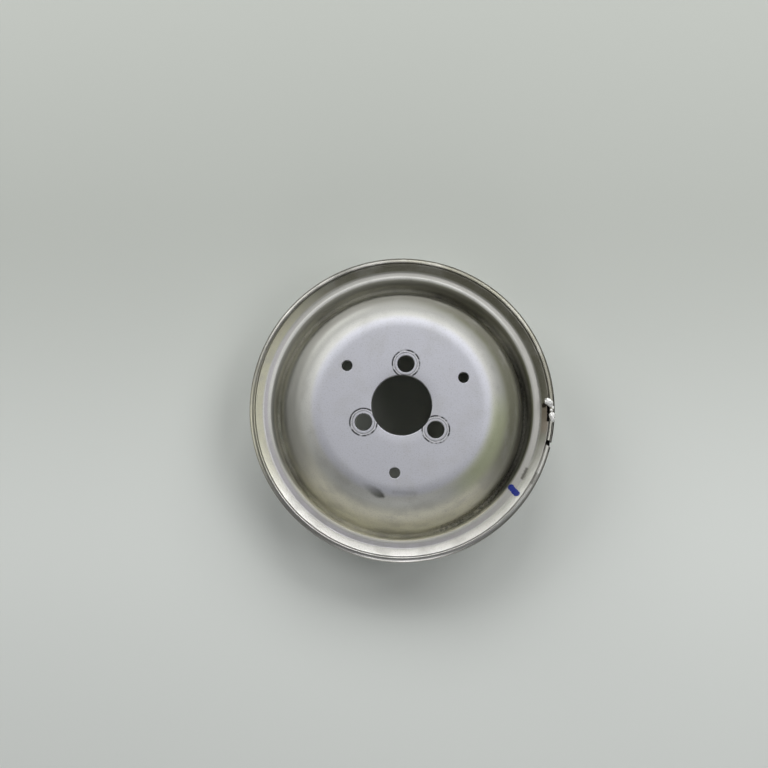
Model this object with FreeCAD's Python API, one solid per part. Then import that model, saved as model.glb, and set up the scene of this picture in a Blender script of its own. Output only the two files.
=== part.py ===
import FreeCAD, Part
import math
import os

# Water pump pulley, pressed and rolled from one round of sheet metal.
# +Z is the pulley's axis, towards the front. Z = 0 is the rear face of the hub,
# where it seats on the pump's flange. +X and +Y are the right and the top of the front view.
# All lengths are in millimetres and all angles in degrees.

# Hub: a flat plate with the pilot bore and two rings of holes.
SHEET = 3.0
BORE_R = 14.8
HUB_FLAT_R = 38.5
BOLT_COUNT = 3
BOLT_CIRCLE_R = 20.35
BOLT_HOLE_R = 4.25
BOLT_START = 84.0
TOOL_COUNT = 3
TOOL_CIRCLE_R = 33.0
TOOL_HOLE_R = 2.65
TOOL_START = 24.0

# Dome: a shoulder and a long flank that share their normals where they meet, measured on
# the front side. The turn is the slope that the shoulder has reached, down from flat.
SHOULDER_R = 13.0
SHOULDER_TURN = 56.0

# Rim wall: it comes forward again from a tight return bend behind the dome.
BEND_R = 1.1
WALL_INNER_R = 66.2
WALL_CORNER_R = 1.0
SHELF_DROP = 18.5
SHELF_WIDTH = 3.7
SHELF_SLOPE = 14.0

# Front flange: it flares from the shelf's low outer edge to a lip. The lip's face is nearly
# level and then rolls over to its back.
FLARE_ANGLE = 43.5
FLARE_LENGTH = 5.8
LIP_WIDTH = 1.9
LIP_SLOPE = 10.0
ROLL_WIDTH = 1.75
ROLL_SLOPE = 50.0
LIP_GROOVE_WIDTH = 0.9
LIP_GROOVE_DEPTH = 0.6

# Belt track: grooves for a ribbed belt, cut into the rim wall from its outside.
RIM_WALL = 6.2
GROOVE_COUNT = 5
GROOVE_PITCH = 3.56
GROOVE_ANGLE = 40.0
GROOVE_DEPTH = 3.3
TRACK_LAND = 1.5

# Rear flange, rolled out of the return bend.
REAR_FLANGE_HEIGHT = 3.2
REAR_FLANGE_SLOPE = 15.0
REAR_FLANGE_RIM = 1.4

# Damage on the lip: a gouge behind it with a tear beside it, a crack along its edge face
# and a nick right through it. Angles are measured from +X towards +Y.
GOUGE_FROM = -5.4
GOUGE_TO = 1.8
GOUGE_WIDTH = 1.5
GOUGE_DEPTH = 2.0
TEAR_AT = 1.3
TEAR_LENGTH = 3.4
TEAR_WIDTH = 1.5
TEAR_DEPTH = 1.3
TEAR_SKEW = 38.0
CRACK_FROM = -13.2
CRACK_TO = -5.8
CRACK_WIDTH = 0.5
CRACK_DEPTH = 1.5
CRACK_INSET = 1.3
NICK_AT = -13.9
NICK_WIDTH = 2.3
NICK_DEPTH = 2.4
NICK_SKEW = 24.0

# Rounded parts of the section are drawn in straight runs that leave the true curve
# by no more than this, which keeps the solid light.
ARC_SAG = 0.3

AXIS = FreeCAD.Vector(0, 0, 1)


def point(radius, height):
    """A point of the half section, on the +X side."""
    return FreeCAD.Vector(radius, 0, height)


def polar(centre, radius, angle):
    """A point on a circle of the half section, with the angle measured from +X to +Z."""
    turn = math.radians(angle)
    return centre + point(radius * math.cos(turn), radius * math.sin(turn))


def rounded(centre, radius, start, end):
    """Points along an arc of the half section, from one angle to another."""
    run = 2 * math.degrees(math.acos(1 - min(ARC_SAG / abs(radius), 1)))
    runs = math.ceil(abs(end - start) / run)
    return [polar(centre, radius, start + (end - start) * n / runs) for n in range(runs + 1)]


def revolve(points, start=0, end=360):
    """A closed section, turned about the axis from one angle to another."""
    outline = Part.makePolygon(points + points[:1])
    solid = Part.Face(outline).revolve(FreeCAD.Vector(0, 0, 0), AXIS, end - start)
    solid.rotate(FreeCAD.Vector(0, 0, 0), AXIS, start)
    return solid


def ring_of_holes(count, circle_r, hole_r, start):
    """Cutters for round holes through the hub."""
    cutters = []
    for number in range(count):
        turn = math.radians(start + 360 * number / count)
        x, y = circle_r * math.cos(turn), circle_r * math.sin(turn)
        cutters.append(Part.makeCylinder(hole_r, 3 * SHEET, FreeCAD.Vector(x, y, -SHEET)))
    return cutters


# The shelf that faces forward, and the front flange with its lip and the groove beside it.
flare_foot = point(WALL_INNER_R + SHELF_WIDTH, SHEET - SHELF_DROP)
shelf_rise = math.tan(math.radians(SHELF_SLOPE))
shelf_top = flare_foot.z + shelf_rise * (SHELF_WIDTH - WALL_CORNER_R)
flare_way = polar(point(0, 0), 1, FLARE_ANGLE)
flare_out = polar(point(0, 0), 1, FLARE_ANGLE - 90)
lip_way = polar(point(0, 0), 1, -LIP_SLOPE)
lip_in = polar(point(0, 0), 1, -LIP_SLOPE - 90)


def on_flare(distance, depth):
    """A point at a distance along the flare and a depth into its metal."""
    return flare_foot + flare_way * distance + flare_out * depth


def on_lip(distance, depth):
    """A point at a distance across the lip's face and a depth into its metal."""
    return on_flare(FLARE_LENGTH, 0) + lip_way * distance + lip_in * depth


groove_start = FLARE_LENGTH - LIP_GROOVE_WIDTH
lip = [
    flare_foot,
    on_flare(groove_start, 0),
    on_flare(groove_start + LIP_GROOVE_WIDTH / 2, LIP_GROOVE_DEPTH),
    on_lip(0, 0),
    on_lip(LIP_WIDTH, 0),
    on_lip(LIP_WIDTH, 0) + polar(point(0, 0), ROLL_WIDTH, -ROLL_SLOPE),
]
crest_r = WALL_INNER_R + RIM_WALL
back_length = (lip[-1].x - crest_r) / flare_way.x
crest_front = lip[-1] - flare_way * back_length

# The belt track: one groove, repeated towards the rear.
groove_half = GROOVE_DEPTH * math.tan(math.radians(GROOVE_ANGLE / 2))
track_front = crest_front.z - TRACK_LAND
track = [crest_front]
for number in range(GROOVE_COUNT):
    middle_z = track_front - (number + 0.5) * GROOVE_PITCH
    track.append(point(crest_r, middle_z + groove_half))
    track.append(point(crest_r - GROOVE_DEPTH, middle_z))
    track.append(point(crest_r, middle_z - groove_half))

# The rear flange and the flat rear face of the rim.
crest_rear = point(crest_r, track_front - GROOVE_COUNT * GROOVE_PITCH - TRACK_LAND)
flange_rise = REAR_FLANGE_HEIGHT * math.tan(math.radians(REAR_FLANGE_SLOPE))
rear_z = crest_rear.z - flange_rise - REAR_FLANGE_RIM
track += [
    crest_rear,
    point(crest_r + REAR_FLANGE_HEIGHT, crest_rear.z - flange_rise),
    point(crest_r + REAR_FLANGE_HEIGHT, rear_z),
]

# The return bend lies one sheet's thickness above the rear face and ends upright, at the rim
# wall. The dome's flank is the one arc that carries on from the shoulder and runs into it.
shoulder_centre = point(HUB_FLAT_R, SHEET - SHOULDER_R)
shoulder_end = polar(shoulder_centre, SHOULDER_R, 90 - SHOULDER_TURN)
shoulder_way = polar(point(0, 0), 1, 90 - SHOULDER_TURN)
bend_centre = point(WALL_INNER_R - BEND_R, rear_z + SHEET + BEND_R)
reach = bend_centre - shoulder_end
flank_r = (reach.dot(reach) - BEND_R ** 2) / (2 * (BEND_R - reach.dot(shoulder_way)))
flank_centre = shoulder_end - shoulder_way * flank_r
to_bend = (bend_centre - flank_centre) / (flank_r + BEND_R)
flank_turn = 90 - math.degrees(math.atan2(to_bend.z, to_bend.x))

# The whole half section: the front side outwards, the track rearwards, the rear side back.
corner_centre = point(WALL_INNER_R + WALL_CORNER_R, shelf_top - WALL_CORNER_R)
hub_front = [
    point(BORE_R, 0),
    point(BORE_R, SHEET),
]
front = rounded(shoulder_centre, SHOULDER_R, 90, 90 - SHOULDER_TURN)
front += rounded(flank_centre, flank_r, 90 - SHOULDER_TURN, 90 - flank_turn)[1:]
front += rounded(bend_centre, BEND_R, 270 - flank_turn, 360)[1:]
front += rounded(corner_centre, WALL_CORNER_R, 180, 90)
rear = rounded(bend_centre, BEND_R + SHEET, 270, 270 - flank_turn)
rear += rounded(flank_centre, flank_r - SHEET, 90 - flank_turn, 90 - SHOULDER_TURN)[1:]
rear += rounded(shoulder_centre, SHOULDER_R - SHEET, 90 - SHOULDER_TURN, 90)[1:]
pulley = revolve(hub_front + front + lip + track + rear, 150, 510)

# Damage, cut in the flare's own directions.
clear = 4 * LIP_WIDTH
gouge_end = FLARE_LENGTH - LIP_GROOVE_WIDTH / 2
gouge_face = [
    on_flare(gouge_end - GOUGE_WIDTH, -LIP_GROOVE_DEPTH),
    on_flare(gouge_end - 0.7 * GOUGE_WIDTH, GOUGE_DEPTH),
    on_flare(gouge_end, GOUGE_DEPTH),
    on_flare(gouge_end, -LIP_GROOVE_DEPTH),
]
crack_face = [
    on_lip(CRACK_INSET, CRACK_DEPTH),
    on_lip(CRACK_INSET + CRACK_WIDTH, CRACK_DEPTH),
    on_lip(CRACK_INSET + CRACK_WIDTH, -LIP_GROOVE_DEPTH),
    on_lip(CRACK_INSET, -LIP_GROOVE_DEPTH),
]
tear = Part.makeBox(TEAR_LENGTH, TEAR_WIDTH, 2 * TEAR_DEPTH)
tear.translate(FreeCAD.Vector(-TEAR_LENGTH / 2, -TEAR_WIDTH / 2, -TEAR_DEPTH))
tear.rotate(FreeCAD.Vector(0, 0, 0), AXIS, -TEAR_SKEW)
tear.rotate(FreeCAD.Vector(0, 0, 0), FreeCAD.Vector(0, 1, 0), -FLARE_ANGLE)
tear.translate(on_flare(gouge_end - TEAR_LENGTH / 2, 0))
tear.rotate(FreeCAD.Vector(0, 0, 0), AXIS, TEAR_AT)
nick = Part.makeBox(2 * clear, NICK_WIDTH, 2 * NICK_DEPTH)
nick.translate(FreeCAD.Vector(-clear, -NICK_WIDTH / 2, -NICK_DEPTH))
nick.rotate(FreeCAD.Vector(0, 0, 0), AXIS, -NICK_SKEW)
nick.translate(on_lip(LIP_WIDTH / 2, 0))
nick.rotate(FreeCAD.Vector(0, 0, 0), AXIS, NICK_AT)
damage = [
    revolve(gouge_face, GOUGE_FROM, GOUGE_TO),
    revolve(crack_face, CRACK_FROM, CRACK_TO),
    tear,
    nick,
]

holes = ring_of_holes(BOLT_COUNT, BOLT_CIRCLE_R, BOLT_HOLE_R, BOLT_START)
holes += ring_of_holes(TOOL_COUNT, TOOL_CIRCLE_R, TOOL_HOLE_R, TOOL_START)
pulley = pulley.cut(holes + damage)

os.makedirs("parts", exist_ok=True)
pulley.exportStep("parts/pump_pulley.step")
box = pulley.BoundBox
print("valid", pulley.isValid(), "solids", len(pulley.Solids), "volume", round(pulley.Volume, 1))
print("box", box.XMin, box.XMax, box.YMin, box.YMax, box.ZMin, box.ZMax)
print("flank radius", round(flank_r, 3), "about", flank_centre, "turn", round(flank_turn, 3))
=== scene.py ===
import bmesh
import bpy
import math
from mathutils import Matrix, Vector, noise


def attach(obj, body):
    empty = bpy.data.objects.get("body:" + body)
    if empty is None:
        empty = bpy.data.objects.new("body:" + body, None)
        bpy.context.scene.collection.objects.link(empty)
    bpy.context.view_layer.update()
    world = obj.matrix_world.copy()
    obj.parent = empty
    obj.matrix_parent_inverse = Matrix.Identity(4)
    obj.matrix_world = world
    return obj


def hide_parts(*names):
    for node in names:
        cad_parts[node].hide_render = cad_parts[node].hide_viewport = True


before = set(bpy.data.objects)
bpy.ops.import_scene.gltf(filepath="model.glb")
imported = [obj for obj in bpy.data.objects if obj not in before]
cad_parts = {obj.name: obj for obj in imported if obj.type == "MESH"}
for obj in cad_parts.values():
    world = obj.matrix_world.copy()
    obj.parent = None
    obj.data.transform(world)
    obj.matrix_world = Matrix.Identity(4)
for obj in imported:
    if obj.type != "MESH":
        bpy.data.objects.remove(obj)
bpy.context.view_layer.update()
scene = bpy.context.scene

# The pulley: one piece of sheet steel, drawn into a dome, bent back at its rear end and
# rolled into a grooved rim. It was blasted fine and dipped in a silver coat, then bolted
# to a pump, run for years, and marked and broken when it was taken off.
MM = 0.001
SHEET = 3.0
BORE_R = 14.8
BOLT_HOLES = (84.0, 20.35, 4.25)
TOOL_HOLES = (24.0, 33.0, 2.65)
SHOULDER = ((38.5, -10.0), 13.0)
FLANK = ((-34.34, -59.1313), 100.861)
FLANK_START = 34.0
FLANK_END = 12.767
BEND = ((65.1, -36.5986), 1.1)
WALL_R = 66.2
SHELF_CORNER_Z = -14.58
FLARE_FOOT = Vector((69.9, -15.5))
FLARE_ANGLE = 43.5
FLARE_LENGTH = 5.8
LIP_SLOPE = 10.0
LIP_WIDTH = 1.9
ROLL_SLOPE = 50.0
ROLL_WIDTH = 1.75
CREST_R = 72.4
TRACK_FRONT = -19.1412
GROOVES = (5, 3.56, 3.3, 1.2011)
TRACK_REAR = -38.4412
REAR_FLANGE_R = 75.6
REAR_FLANGE_TOP = -39.2986
REAR_Z = -40.6986
HUB_RINGS = (20.0, 26.0, 32.0, 36.5)
WALL_RINGS = (-30.0, -25.0)
TURNS = 288
KNOCKS_SEED = 5
noise.seed_set(KNOCKS_SEED)


def way(angle):
    """A unit step in the half section, at an angle from outwards to frontwards."""
    return Vector((math.cos(math.radians(angle)), math.sin(math.radians(angle))))


def swept(centre, radius, start, end, step=6.0):
    """Points along an arc of the half section."""
    count = max(2, math.ceil(abs(end - start) / step))
    return [Vector(centre) + way(start + (end - start) * n / count) * radius for n in range(count + 1)]


def eased(corners):
    """A run of corners, each rounded by its own radius."""
    run = []
    for number, (corner, radius) in enumerate(corners):
        if radius == 0:
            run.append(corner)
            continue
        back = (corners[number - 1][0] - corner).normalized()
        ahead = (corners[number + 1][0] - corner).normalized()
        half = back.angle(ahead) / 2
        middle = corner + (back + ahead).normalized() * (radius / math.sin(half))
        first = back * (radius / math.tan(half)) + corner - middle
        last = ahead * (radius / math.tan(half)) + corner - middle
        turn = math.atan2(first.x * last.y - first.y * last.x, first.dot(last))
        steps = max(2, math.ceil(abs(turn) / math.radians(24)))
        for step in range(steps + 1):
            c, s = math.cos(turn * step / steps), math.sin(turn * step / steps)
            run.append(middle + Vector((first.x * c - first.y * s, first.x * s + first.y * c)))
    return run


def on_flare(distance, depth):
    """A place along the flare and down into its metal."""
    return FLARE_FOOT + way(FLARE_ANGLE) * distance + way(FLARE_ANGLE - 90) * depth


def on_lip(distance, depth):
    """A place across the lip's face and down into its metal."""
    return on_flare(FLARE_LENGTH, 0) + way(-LIP_SLOPE) * distance + way(-LIP_SLOPE - 90) * depth


def rim_corners():
    """The rim from its inner wall over the lip and the belt track to the rear face."""
    lip_end = on_lip(LIP_WIDTH, 0) + way(-ROLL_SLOPE) * ROLL_WIDTH
    back = (lip_end.x - CREST_R) / way(FLARE_ANGLE).x
    corners = [
        (Vector((WALL_R, WALL_RINGS[1])), 0),
        (Vector((WALL_R, SHELF_CORNER_Z)), 1.2),
        (FLARE_FOOT, 0.8),
        (on_flare(FLARE_LENGTH - 0.9, 0), 0.12),
        (on_flare(FLARE_LENGTH - 0.45, 0.6), 0.15),
        (on_lip(0, 0), 0.3),
        (on_lip(LIP_WIDTH, 0), 2.0),
        (lip_end, 0.8),
        (lip_end - way(FLARE_ANGLE) * back, 0.9),
    ]
    count, pitch, depth, half = GROOVES
    for number in range(count):
        middle = TRACK_FRONT - (number + 0.5) * pitch
        corners.append((Vector((CREST_R, middle + half)), 0.3))
        corners.append((Vector((CREST_R - depth, middle)), 0.2))
        corners.append((Vector((CREST_R, middle - half)), 0.3))
    return corners + [
        (Vector((CREST_R, TRACK_REAR)), 0.6),
        (Vector((REAR_FLANGE_R, REAR_FLANGE_TOP)), 0.35),
        (Vector((REAR_FLANGE_R, REAR_Z)), 0.35),
        (Vector((BEND[0][0], REAR_Z)), 0),
    ]


def half_section():
    """The whole section: the bore, the front side outwards, the rim, and the rear side back."""
    run = eased([
        (Vector((HUB_RINGS[0], 0.0)), 0),
        (Vector((BORE_R, 0.0)), 0.3),
        (Vector((BORE_R, SHEET)), 0.45),
        (Vector((HUB_RINGS[0], SHEET)), 0),
    ])
    run += [Vector((r, SHEET)) for r in HUB_RINGS[1:]]
    run += swept(*SHOULDER, 90, FLANK_START, 4)
    run += swept(*FLANK, FLANK_START, FLANK_END, 1.5)[1:]
    run += swept(*BEND, 180 + FLANK_END, 360, 12)[1:]
    run += [Vector((WALL_R, WALL_RINGS[0]))] + eased(rim_corners())
    run += swept(BEND[0], BEND[1] + SHEET, 270, 180 + FLANK_END, 7)[1:]
    run += swept(FLANK[0], FLANK[1] - SHEET, FLANK_END, FLANK_START, 2.0)[1:]
    run += swept(SHOULDER[0], SHOULDER[1] - SHEET, FLANK_START, 90, 6)[1:]
    return run + [Vector((r, 0.0)) for r in (HUB_RINGS[2], HUB_RINGS[1])]


def meshed(name, points, faces):
    mesh = bpy.data.meshes.new(name)
    mesh.from_pydata([p * MM for p in points], [], faces)
    mesh.validate()
    piece = bpy.data.objects.new(name, mesh)
    scene.collection.objects.link(piece)
    return piece


def spun(name, run, turns, closed=True, at=(0, 0)):
    """A half section, spun about an upright axis. An open one gets two flat ends."""
    count = len(run)
    points = []
    for number in range(turns):
        turn = 2 * math.pi * (number + 0.5) / turns
        out = Vector((math.cos(turn), math.sin(turn), 0))
        points += [Vector((at[0], at[1], p.y)) + out * p.x for p in run]
    faces = []
    for number in range(turns):
        here, ahead = number * count, (number + 1) % turns * count
        for step in range(count if closed else count - 1):
            after = (step + 1) % count
            faces.append((here + step, here + after, ahead + after, ahead + step))
    if not closed:
        faces.append(tuple(number * count for number in range(turns)))
        faces.append(tuple(number * count + count - 1 for number in reversed(range(turns))))
    return meshed(name, points, faces)


def drills(start, circle_r, hole_r):
    """Three drills. Each widens at the hub's front face, where it breaks the hole's edge."""
    run = [Vector((hole_r + 0.6, SHEET + 0.38)), Vector((hole_r, SHEET - 0.22)), Vector((hole_r, -2))]
    made = []
    for number in range(3):
        turn = math.radians(start + 120 * number)
        at = (circle_r * math.cos(turn), circle_r * math.sin(turn))
        made.append(spun("drill", run, 48, closed=False, at=at))
    return made


def ragged(name, outline, start, end, step, wobble):
    """A cutter that follows the rim: its outline in the section, roughened as it goes."""
    count = len(outline)
    turns = [start + (end - start) * n / step for n in range(step + 1)]
    points = []
    for number, turn in enumerate(turns):
        out = Vector((math.cos(math.radians(turn)), math.sin(math.radians(turn)), 0))
        for spot in outline:
            place = out * spot.x + Vector((0, 0, spot.y))
            points.append(place + noise.noise_vector(place * 1.3 + Vector((0, 0, 7))) * wobble)
    faces = []
    for number in range(step):
        here, ahead = number * count, (number + 1) * count
        for corner in range(count):
            after = (corner + 1) % count
            faces.append((here + corner, ahead + corner, ahead + after, here + after))
    faces.append(tuple(range(count)))
    faces.append(tuple(step * count + corner for corner in reversed(range(count))))
    return meshed(name, points, faces)


def cut(piece, cutters):
    """Takes the cutters out of the piece, one after another."""
    for cutter in cutters:
        difference = piece.modifiers.new("cut", "BOOLEAN")
        difference.operation = "DIFFERENCE"
        difference.solver = "EXACT"
        difference.object = cutter
    bpy.context.view_layer.update()
    seen = piece.evaluated_get(bpy.context.evaluated_depsgraph_get())
    mesh = bpy.data.meshes.new_from_object(seen)
    piece.modifiers.clear()
    piece.data = mesh
    for cutter in cutters:
        bpy.data.objects.remove(cutter)


def smooth(piece, angle):
    """Smooth faces, with the edges that turn further than the angle kept crisp."""
    piece.data.polygons.foreach_set("use_smooth", [True] * len(piece.data.polygons))
    piece.data.set_sharp_from_angle(angle=math.radians(angle))


def notch(name, centre, size, skews, turn):
    """A block cutter set askew on the rim, its corners knocked about a little."""
    points = []
    for x in (-1, 1):
        for y in (-1, 0, 1):
            for z in (-1, 1):
                points.append(Vector((x * size[0], y * size[1], z * size[2])) / 2)
    for number, corner in enumerate(points):
        corner += noise.noise_vector(Vector((number * 1.7, turn, 3))) * 0.35
    flat, lean = skews
    place = Matrix.Rotation(math.radians(turn), 3, "Z")
    tilt = Matrix.Rotation(math.radians(-lean), 3, "Y") @ Matrix.Rotation(math.radians(-flat), 3, "Z")
    points = [place @ (tilt @ p + Vector((centre.x, 0, centre.y))) for p in points]
    faces = [(0, 1, 3, 2), (2, 3, 5, 4), (6, 8, 9, 7), (8, 10, 11, 9), (0, 6, 7, 1), (4, 5, 11, 10)]
    faces += [(0, 2, 8, 6), (2, 4, 10, 8), (1, 7, 9, 3), (3, 9, 11, 5)]
    return meshed(name, points, faces)


# The broken lip: a gouge behind it with a tear beside it, a crack along its face and a nick
# through it. Each is given by its turn from +X.
GOUGE = (-5.4, 1.8)
GOUGE_WIDTH = 1.5
GOUGE_DEPTH = 1.9
CRACK = (-13.2, -5.8)
TEAR_AT = 2.3
NICK_AT = -13.9
DAMAGE_STEPS = 30
gouge_end = FLARE_LENGTH - 0.45
gouge_outline = [
    on_flare(gouge_end - GOUGE_WIDTH, -0.8),
    on_flare(gouge_end - 1.1, GOUGE_DEPTH),
    on_flare(gouge_end, GOUGE_DEPTH),
    on_flare(gouge_end, -0.8),
]
crack_outline = [on_lip(1.25, 1.4), on_lip(1.7, 1.4), on_lip(1.75, -0.6), on_lip(1.2, -0.6)]

pulley = spun("pulley", half_section(), TURNS)
cut(pulley, drills(*BOLT_HOLES) + drills(*TOOL_HOLES))
cut(pulley, [
    ragged("gouge", gouge_outline, *GOUGE, DAMAGE_STEPS, 0.45),
    ragged("crack", crack_outline, *CRACK, DAMAGE_STEPS, 0.12),
    notch("tear", on_flare(gouge_end - 1.0, 0), (3.0, 3.3, 2.4), (34, FLARE_ANGLE), TEAR_AT),
    notch("nick", on_lip(LIP_WIDTH / 2 + 0.8, 0), (3.9, 2.3, 4.4), (24, 0), NICK_AT),
])
smooth(pulley, 32)


class Field:
    """One socket of a shader tree, which plain arithmetic can work on."""

    def __init__(self, tree, socket=None):
        self.tree = tree
        self.socket = socket

    def node(self, kind, settings=None, inputs=None, output=0):
        """Any other node: its settings are set first, then its sockets get values or links."""
        made = self.tree.nodes.new("ShaderNode" + kind)
        for name, value in (settings or {}).items():
            setattr(made, name, value)
        for name, value in (inputs or {}).items():
            if isinstance(value, Field):
                self.tree.links.new(value.socket, made.inputs[name])
            else:
                made.inputs[name].default_value = value
        return Field(self.tree, made.outputs[output])

    def also(self, output):
        """Another output of the same node."""
        return Field(self.tree, self.socket.node.outputs[output])

    def maths(self, operation, *values):
        return self.node("Math", {"operation": operation}, dict(enumerate(values)))

    def __add__(self, other):
        return self.maths("ADD", self, other)

    def __radd__(self, other):
        return self.maths("ADD", other, self)

    def __sub__(self, other):
        return self.maths("SUBTRACT", self, other)

    def __rsub__(self, other):
        return self.maths("SUBTRACT", other, self)

    def __mul__(self, other):
        return self.maths("MULTIPLY", self, other)

    def __rmul__(self, other):
        return self.maths("MULTIPLY", other, self)

    def __truediv__(self, other):
        return self.maths("DIVIDE", self, other)

    def __pow__(self, power):
        return self.maths("POWER", self, power)

    def least(self, other):
        return self.maths("MINIMUM", self, other)

    def most(self, other):
        return self.maths("MAXIMUM", self, other)

    def rise(self, low, high):
        """0 below low, 1 above high, smooth between."""
        ends = {"Value": self, "From Min": low, "From Max": high}
        return self.node("MapRange", {"interpolation_type": "SMOOTHSTEP"}, ends)

    def band(self, low, high, soft):
        """1 between low and high, with soft edges."""
        return self.rise(low - soft, low + soft) * (1 - self.rise(high - soft, high + soft))

    def toward(self, colour, share):
        """This colour, mixed towards another by a share from 0 to 1."""
        return self.node("Mix", {"data_type": "RGBA"}, {0: share, 6: self, 7: colour}, 2)

    def cloud(self, scale, detail=3.0):
        """Noise from 0 to 1 at a place given in millimetres."""
        return self.node("TexNoise", {}, {"Vector": self, "Scale": scale, "Detail": detail})


def new_finish(name, fixed):
    """A new material, its shader with the values that are the same all over, and its place field."""
    made = bpy.data.materials.new(name)
    made.use_nodes = True
    made.node_tree.nodes.clear()
    end = made.node_tree.nodes.new("ShaderNodeOutputMaterial")
    shader = made.node_tree.nodes.new("ShaderNodeBsdfPrincipled")
    made.node_tree.links.new(shader.outputs[0], end.inputs["Surface"])
    for socket, value in fixed.items():
        shader.inputs[socket].default_value = value
    start = Field(made.node_tree).node("TexCoord", output="Object")
    place = start.node("VectorMath", {"operation": "SCALE"}, {0: start, "Scale": 1000.0})
    return made, shader, place


def feed(shader, socket, field):
    field.tree.links.new(field.socket, shader.inputs[socket])


def shade(red, green, blue):
    """A colour written as it looks on a screen, in the linear values that a shader takes."""
    return tuple(((c / 255 + 0.055) / 1.055) ** 2.4 for c in (red, green, blue)) + (1.0,)


coat, coat_shader, place = new_finish("silver_coat", {"IOR": 1.5})
axes = place.node("SeparateXYZ", inputs={0: place})
x, y, z = axes, axes.also("Y"), axes.also("Z")
radius = (x * x + y * y) ** 0.5
angle = y.maths("ARCTAN2", y, x) * math.degrees(1)
outward = place.node("SeparateXYZ", inputs={0: place.node("TexCoord", output="Normal")}, output="Z")
facing = outward.rise(0.0, 0.12)
front = z.rise(1.0, 2.6)
rim = radius.rise(66.6, 67.4)
mottle = place.cloud(0.09, 4.0)
grain = place.cloud(1.6, 3.0)
fine = place.cloud(4.5, 2.0)
ragged_edge = (place.cloud(0.8, 4.0) - 0.5) * 2


def across(corner, direction):
    """How far a place lies from a corner of the section, along a direction of the section."""
    return (radius - corner.x) * direction.x + (z - corner.y) * direction.y


def side(turn):
    """1 in this direction from the axis, 0 square to it and -1 on the far side."""
    return (x * math.cos(math.radians(turn)) + y * math.sin(math.radians(turn))) / radius


def away(across_x, across_y):
    """How far a place lies from a point of the front view."""
    to_x, to_y = x - across_x, y - across_y
    return (to_x * to_x + to_y * to_y) ** 0.5


def stroke(start, end):
    """How far along a line of the front view a place lies, from 0 to 1, and how far off it."""
    run = Vector(end) - Vector(start)
    to_x, to_y = x - start[0], y - start[1]
    share = ((to_x * run.x + to_y * run.y) * (1 / run.length_squared)).most(0.0).least(1.0)
    off_x, off_y = to_x - share * run.x, to_y - share * run.y
    return share, (off_x * off_x + off_y * off_y) ** 0.5


def ahead(turn, distance):
    """The point of the front view in a direction from the axis and at a distance."""
    return distance * math.cos(math.radians(turn)), distance * math.sin(math.radians(turn))


# Tones of the coat: faintly violet on the hub, greyer and warmer on the dome and the rim.
# Down in the ring the tones are painted light and shade by side: lighter low down, on the
# upper left and at the foot of the ring; darker and olive on the right; darker on the left
# and on the upper flank and wall.
tone = Field(coat.node_tree).node("RGB")
tone.socket.default_value = shade(206, 206, 202)
tone = tone.toward(shade(208, 209, 216), front)
deep = (1 - z.rise(-11.0, -1.0)) * radius.band(42, 66.6, 0.5)
foot = (1 - z.rise(-30.0, -22.0)) * radius.band(58, 66.6, 0.4)
far_flank_shade = z.band(-27.0, -12.0, 3.0) * radius.band(50, 65.4, 0.4) * side(85).rise(0.2, 0.8)
wall = radius.band(65.4, 66.6, 0.3) * z.rise(-32.0, -26.0) * side(100).rise(0.0, 0.8)
tone = tone.toward(shade(180, 180, 173), deep)
# Painted light: the lower side of the ring, and its upper left near the hub, lighter.
tone = tone.toward(shade(242, 240, 226), deep * side(-98).rise(0.1, 0.75))
near_hub = 1 - radius.rise(51.5, 54.5) * 0.75
tone = tone.toward(shade(236, 236, 230), deep * side(144).rise(0.7, 0.97) * near_hub)
# Painted shade: the right side of the ring darker and olive, the left side darker.
tone = tone.toward(shade(128, 128, 104), deep * side(18).rise(0.25, 0.9) * 0.8)
tone = tone.toward(shade(150, 150, 144), deep * side(183).rise(0.72, 0.98) * 0.7)
# Painted light at the foot of the ring, less on its lower side; painted shade on the upper flank and on
# the upper side of the wall.
tone = tone.toward(shade(248, 247, 236), foot * (0.85 - side(-98).rise(0.3, 0.9) * 0.6))
tone = tone.toward(shade(146, 144, 134), far_flank_shade * 0.65)
tone = tone.toward(shade(130, 128, 114), wall * 0.25)
shelf = radius.band(66.5, 70.1, 0.3) * facing
rim_face = facing * z.rise(-17.8, -17.0)
flange = radius.rise(70.0, 71.0) * rim_face
tone = tone.toward(shade(184, 183, 178), shelf)
# Painted light on the lower left of the shelf, and a painted highlight on its inner corner at the upper
# left.
tone = tone.toward(shade(206, 204, 208), shelf * side(-135).rise(-0.15, 0.7) * radius.rise(67.2, 68.2))
tone = tone.toward(shade(220, 220, 216), radius.band(66.2, 68.0, 0.3) * side(112).rise(-0.1, 0.6) * facing)
# Painted shade on the upper side of the flange, painted light on its lower side, and warmer painted light
# on its left.
tone = tone.toward(shade(122, 120, 106), flange * side(58).rise(-0.05, 0.6) * 0.9)
tone = tone.toward(shade(246, 245, 242), flange * side(-112).rise(0.3, 0.9))
tone = tone.toward(shade(214, 212, 184), flange * side(170).rise(0.6, 0.95) * 0.7)
lip_face = radius.rise(73.9, 74.4) * rim_face
# Painted shade on the upper left of the lip's face.
tone = tone.toward(shade(134, 133, 128), lip_face * side(130).rise(0.6, 0.95))
corner_line = radius.band(69.6, 70.4, 0.2) * side(-2).rise(0.9, 0.98) * rim_face
tone = tone.toward(shade(92, 88, 80), corner_line * (0.4 + ragged_edge * 0.3).most(0.0))
hub_clean = 1 - front * 0.6
tone = tone.toward(shade(182, 181, 176), mottle.rise(0.45, 0.75) * hub_clean * 0.5)
tone = tone.toward(shade(172, 172, 170), grain.rise(0.5, 0.72) * 0.3)
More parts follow.
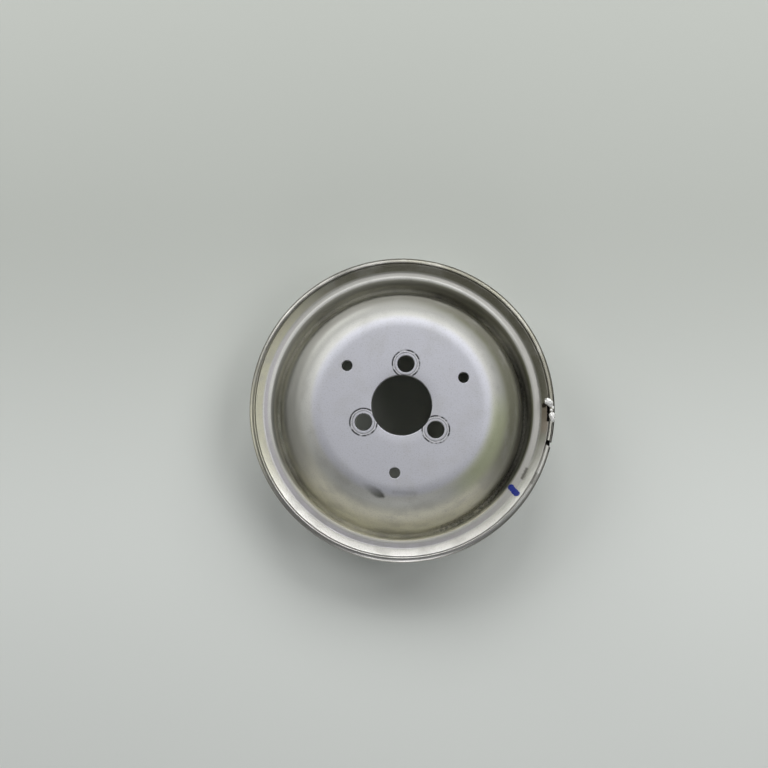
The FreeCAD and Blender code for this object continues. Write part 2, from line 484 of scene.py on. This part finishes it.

# A greenish tint low on the right, and a pale brown bruise on the flange with a painted shadow of
# the torn lump at its end, beside the gouge.
tint = radius.band(44.5, 52.5, 3.0) * side(-26).rise(0.78, 0.99)
tone = tone.toward(shade(190, 198, 142), tint * facing * 0.5)
bruise = radius.band(70.6, 73.4, 0.5) * side(-4.5).rise(0.9925, 0.9985)
tone = tone.toward(shade(176, 156, 146), bruise * rim_face * 0.45)
# Painted shadow of the torn lump, cast on the flange.
lump_shadow = 1 - (away(*ahead(1.0, 71.6)) + ragged_edge * 0.9).rise(0.7, 1.5)
tone = tone.toward(shade(40, 32, 28), lump_shadow * flange * 0.9)
# Painted shade: the foot of the ring darker on the right, with a ragged edge. Below it, dark flakes of
# dirt in the foot of the ring, low on the right.
right_foot_shade = radius.band(64.0, 66.6, 0.3) * (1 - z.rise(-21.0, -16.5)) * side(-6).rise(0.7, 0.93)
tone = tone.toward(shade(54, 52, 38), right_foot_shade * (0.6 + ragged_edge * 0.25))
flakes = radius.band(62.4, 66.3, 0.4) * side(-50).rise(0.86, 0.97) * ragged_edge.rise(-0.3, 0.3)
tone = tone.toward(shade(84, 82, 68), flakes * (1 - z.rise(-24.0, -19.0)) * 0.6)

# Round marks that the screw heads pressed into the hub: a broken dark line, a faint one
# within it, and bruised coat between them.
first_screw, screw_circle = BOLT_HOLES[:2]
to_screw = away(*ahead(first_screw, screw_circle))
for turn in (120, 240):
    to_screw = to_screw.least(away(*ahead(first_screw + turn, screw_circle)))
broken_line = place.cloud(0.4, 3.0).rise(0.36, 0.54) * 0.75 + 0.25
print_line = (to_screw + ragged_edge * 0.12).band(6.25, 7.0, 0.24) * broken_line * front
inner_line = (to_screw + ragged_edge * 0.15).band(5.3, 5.8, 0.25) * (1.1 - broken_line * 0.5) * front
bruised = to_screw.band(5.6, 6.5, 0.15) * front
tone = tone.toward(shade(236, 236, 238), bruised * grain.rise(0.35, 0.6) * 0.8)
tone = tone.toward(shade(44, 44, 48), print_line * 0.95)
tone = tone.toward(shade(84, 84, 88), inner_line * 0.8)

# A greasy smear on the dome, thin where it starts and heaviest near its tip, and a fainter
# wipe beside it.
share, off = stroke((-20.1, -37.2), (-8.9, -44.2))
smear = 1 - (off + ragged_edge * 0.6 - (share - share ** 6) * 2.4).rise(-0.3, 1.4)
tone = tone.toward(shade(58, 60, 50), smear * (share * 0.7 + 0.2) * facing)
off = stroke((-4.0, -42.0), (6.5, -42.5))[1]
wipe = 1 - (off + ragged_edge * 0.8).rise(0.0, 1.6)
tone = tone.toward(shade(136, 136, 136), wipe * facing * 0.2)

# Two short scuffs that run with the rim, on the shelf's corner and beside the lip.
for start, end, weight in (((62.5, -30.6), (60.2, -35.2), 0.8), ((67.0, -33.2), (64.6, -37.6), 0.55)):
    off = stroke(start, end)[1]
    scuff = 1 - (off + ragged_edge * 0.6).rise(0.2, 1.3)
    tone = tone.toward(shade(84, 80, 72), scuff * rim * rim_face * weight)

# Painted shade in dark lines: along the lip's outer edge, strongest on the right, in the groove beside it,
# and inside the breaks.
edge = (across(on_lip(LIP_WIDTH, 0), way(-ROLL_SLOPE)) + ragged_edge * 0.15).rise(0.9, 1.25)
edge = edge * radius.rise(75.4, 75.9) * z.rise(-18.0, -17.0)
# Painted shade along the lip's outer edge.
tone = tone.toward(shade(72, 68, 60), edge * (0.55 + side(15) * 0.35).most(0.25))
under_flare = across(FLARE_FOOT, way(FLARE_ANGLE - 90))
under_lip = across(on_lip(0, 0), way(-LIP_SLOPE - 90))
inside = under_flare.band(0.3, 2.75, 0.14) * under_lip.rise(0.12, 0.4) * radius.rise(70.6, 71.2)
broken = inside * angle.band(-17.0, 5.2, 0.3)
# Painted shade in the groove beside the lip and on the cut faces, darkest inside the breaks.
tone = tone.toward(shade(112, 108, 98), inside * z.rise(-16.0, -15.0) * 0.6)
tone = tone.toward(shade(26, 24, 22), broken * 0.96)

# A dab of blue marking paint across the shelf, from the ring up onto the flange.
off = stroke((54.5, -39.7), (57.0, -42.7))[1]
paint = (1 - (off + ragged_edge * 0.7).rise(1.35, 1.75)) * z.rise(-19.6, -18.8) * facing
tone = tone.toward(shade(4, 26, 132), paint)
tone = tone.toward(shade(44, 96, 160), paint * fine.rise(0.56, 0.66) * 0.6)

# The belt has rubbed the crests bright and left its dust down in the grooves.
track = z.band(-38.6, -19.0, 0.3) * radius.rise(67.5, 68.5)
dust = track * (1 - (radius + ragged_edge * 0.5).rise(69.4, 71.4))
tone = tone.toward(shade(52, 50, 48), dust * 0.85)
feed(coat_shader, "Base Color", tone)

# Turned lines run round the rim; the rest has the blasted grain.
lines = {"W": radius * 1.9 + z * 1.3, "Scale": 1.0, "Detail": 4.0}
turned = place.node("TexNoise", {"noise_dimensions": "1D"}, lines)
rough = 0.66 - rim * 0.28 + shelf * 0.22 + (grain - 0.5) * 0.12 + (mottle - 0.5) * 0.1
feed(coat_shader, "Roughness", rough)
metal = 0.9 + rim * 0.1 - radius.band(50, 66.6, 3.0) * 0.45 - radius.band(58.5, 66.6, 1.5) * 0.4
metal = metal - shelf * 0.55
metal = metal * (1 - paint) * (1 - broken * 0.8) * (1 - dust * 0.7) * (1 - edge * 0.5) * (1 - smear * 0.6)
feed(coat_shader, "Metallic", metal)
height = fine * 0.5 + grain * 0.6 + turned * rim * 0.8 - print_line * 1.5 - inner_line * 1.2 + paint * 0.7
blasted = {"Strength": 0.6, "Distance": 0.00006, "Height": height}
feed(coat_shader, "Normal", height.node("Bump", {}, blasted))

pulley.data.materials.clear()
pulley.data.materials.append(coat)
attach(pulley, "root")
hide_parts("pump_pulley")

# Torn metal on the broken lip: two bright lumps that were folded up out of the gouge, and
# crumbs between them.


def lump(shapes, centre, halves, turn, seed):
    """A torn knob: a ball, stretched and turned, with dents and sharp folds."""
    made = bmesh.ops.create_icosphere(shapes, subdivisions=4, radius=1.0)
    spin = Matrix.Rotation(math.radians(turn), 3, "Z")
    for vertex in made["verts"]:
        out = vertex.co.normalized()
        dent = noise.noise(out * 0.9 + Vector((seed, 0, 0))) * 0.35
        fold = abs(noise.noise(out * 1.7 + Vector((0, seed, 0)))) * 0.3
        chip = noise.noise(out * 5.0 + Vector((0, 0, seed))) * 0.03
        swollen = out * (1.05 + dent - fold + chip)
        place = Vector((swollen.x * halves[0], swollen.y * halves[1], swollen.z * halves[2]))
        vertex.co = (Vector(centre) + spin @ place) * MM


shapes = bmesh.new()
lump(shapes, (73.85, 2.5, -11.5), (2.3, 1.75, 1.1), -42, 3.1)
lump(shapes, (72.7, 3.5, -12.2), (1.2, 0.9, 0.8), -20, 11.4)
lump(shapes, (75.3, -4.9, -12.1), (1.55, 2.35, 1.0), 6, 5.7)
lump(shapes, (75.1, -6.6, -12.3), (0.9, 0.8, 0.6), -6, 8.2)
lump(shapes, (74.8, -1.5, -11.8), (0.8, 0.75, 0.7), 0, 2.3)
lump(shapes, (75.6, 0.1, -12.1), (0.75, 0.9, 0.6), 15, 6.6)
torn_mesh = bpy.data.meshes.new("torn_lip")
shapes.to_mesh(torn_mesh)
shapes.free()
torn = bpy.data.objects.new("torn_lip", torn_mesh)
scene.collection.objects.link(torn)
smooth(torn, 24)

bare, bare_shader, spot = new_finish("bare_steel", {"IOR": 1.5, "Metallic": 0.75})
speck = spot.cloud(1.1, 4.0)
glint = spot.cloud(3.0, 2.0)
colour = Field(bare.node_tree).node("RGB")
colour.socket.default_value = shade(238, 238, 236)
colour = colour.toward(shade(96, 92, 88), speck.rise(0.56, 0.66) * 0.75)
feed(bare_shader, "Base Color", colour)
feed(bare_shader, "Roughness", 0.42 + glint * 0.3)
crumpled = {"Strength": 0.7, "Distance": 0.00015, "Height": glint + speck}
feed(bare_shader, "Normal", glint.node("Bump", {}, crumpled))
torn.data.materials.append(bare)
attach(torn, "root")

# The table: one plain pale sheet with a matt coat of paint, a little darker towards its far
# side. The pulley lies on it on the rear face of its rim.
bpy.ops.mesh.primitive_plane_add(size=6, location=(0, 0, REAR_Z * MM))
table = bpy.context.object
table.name = "table"
painted, painted_shader, spot = new_finish("pale_paint", {"Roughness": 0.7})
across_table = spot.node("SeparateXYZ", inputs={0: spot}, output="Y")
sheet = Field(painted.node_tree).node("RGB")
sheet.socket.default_value = shade(226, 230, 226)
feed(painted_shader, "Base Color", sheet.toward(shade(184, 188, 182), across_table.rise(-90.0, 120.0)))
table.data.materials.append(painted)

# Light: six wide soft lamps, the stronger ones on the upper side, and a dim plain room.
# The camera looks down at the pulley a little from below its axis, from 0.44 m away.


LAMP_SIZE = 0.5


def lamp(name, turn, rise, power):
    """A soft square lamp a metre away, turned from +X to +Y and raised from level."""
    flat = math.cos(math.radians(rise))
    direction = Vector((*ahead(turn, flat), math.sin(math.radians(rise))))
    made = bpy.data.objects.new(name, bpy.data.lights.new(name, "AREA"))
    made.data.size = LAMP_SIZE
    made.data.energy = power
    made.location = direction
    made.rotation_euler = direction.to_track_quat("Z", "Y").to_euler()
    scene.collection.objects.link(made)


lamp("upper_right_lamp", 45, 35, 3.6)
lamp("upper_lamp", 90, 35, 3.75)
lamp("upper_left_lamp", 135, 27, 4.1)
lamp("right_lamp", 0, 48, 2.1)
lamp("left_lamp", 180, 18, 1.0)
lamp("lower_lamp", 270, 15, 1.6)
room = bpy.data.worlds.new("room")
room.use_nodes = True
backdrop = room.node_tree.nodes["Background"]
backdrop.inputs["Color"].default_value = (1.0, 1.0, 1.0, 1.0)
backdrop.inputs["Strength"].default_value = 0.05
scene.world = room
scene.view_settings.view_transform = "Standard"

CAMERA_AT = Vector((-0.62, -38.66, 438.63))
CAMERA_TILT = (6.41, 1.05, 0.0)
camera = bpy.data.objects.new("camera", bpy.data.cameras.new("camera"))
camera.data.sensor_width = 36
camera.data.lens = 42.1875
camera.data.clip_start = 0.01
camera.location = CAMERA_AT * MM
camera.rotation_euler = [math.radians(turn) for turn in CAMERA_TILT]
scene.collection.objects.link(camera)
scene.camera = camera

bpy.context.view_layer.update()
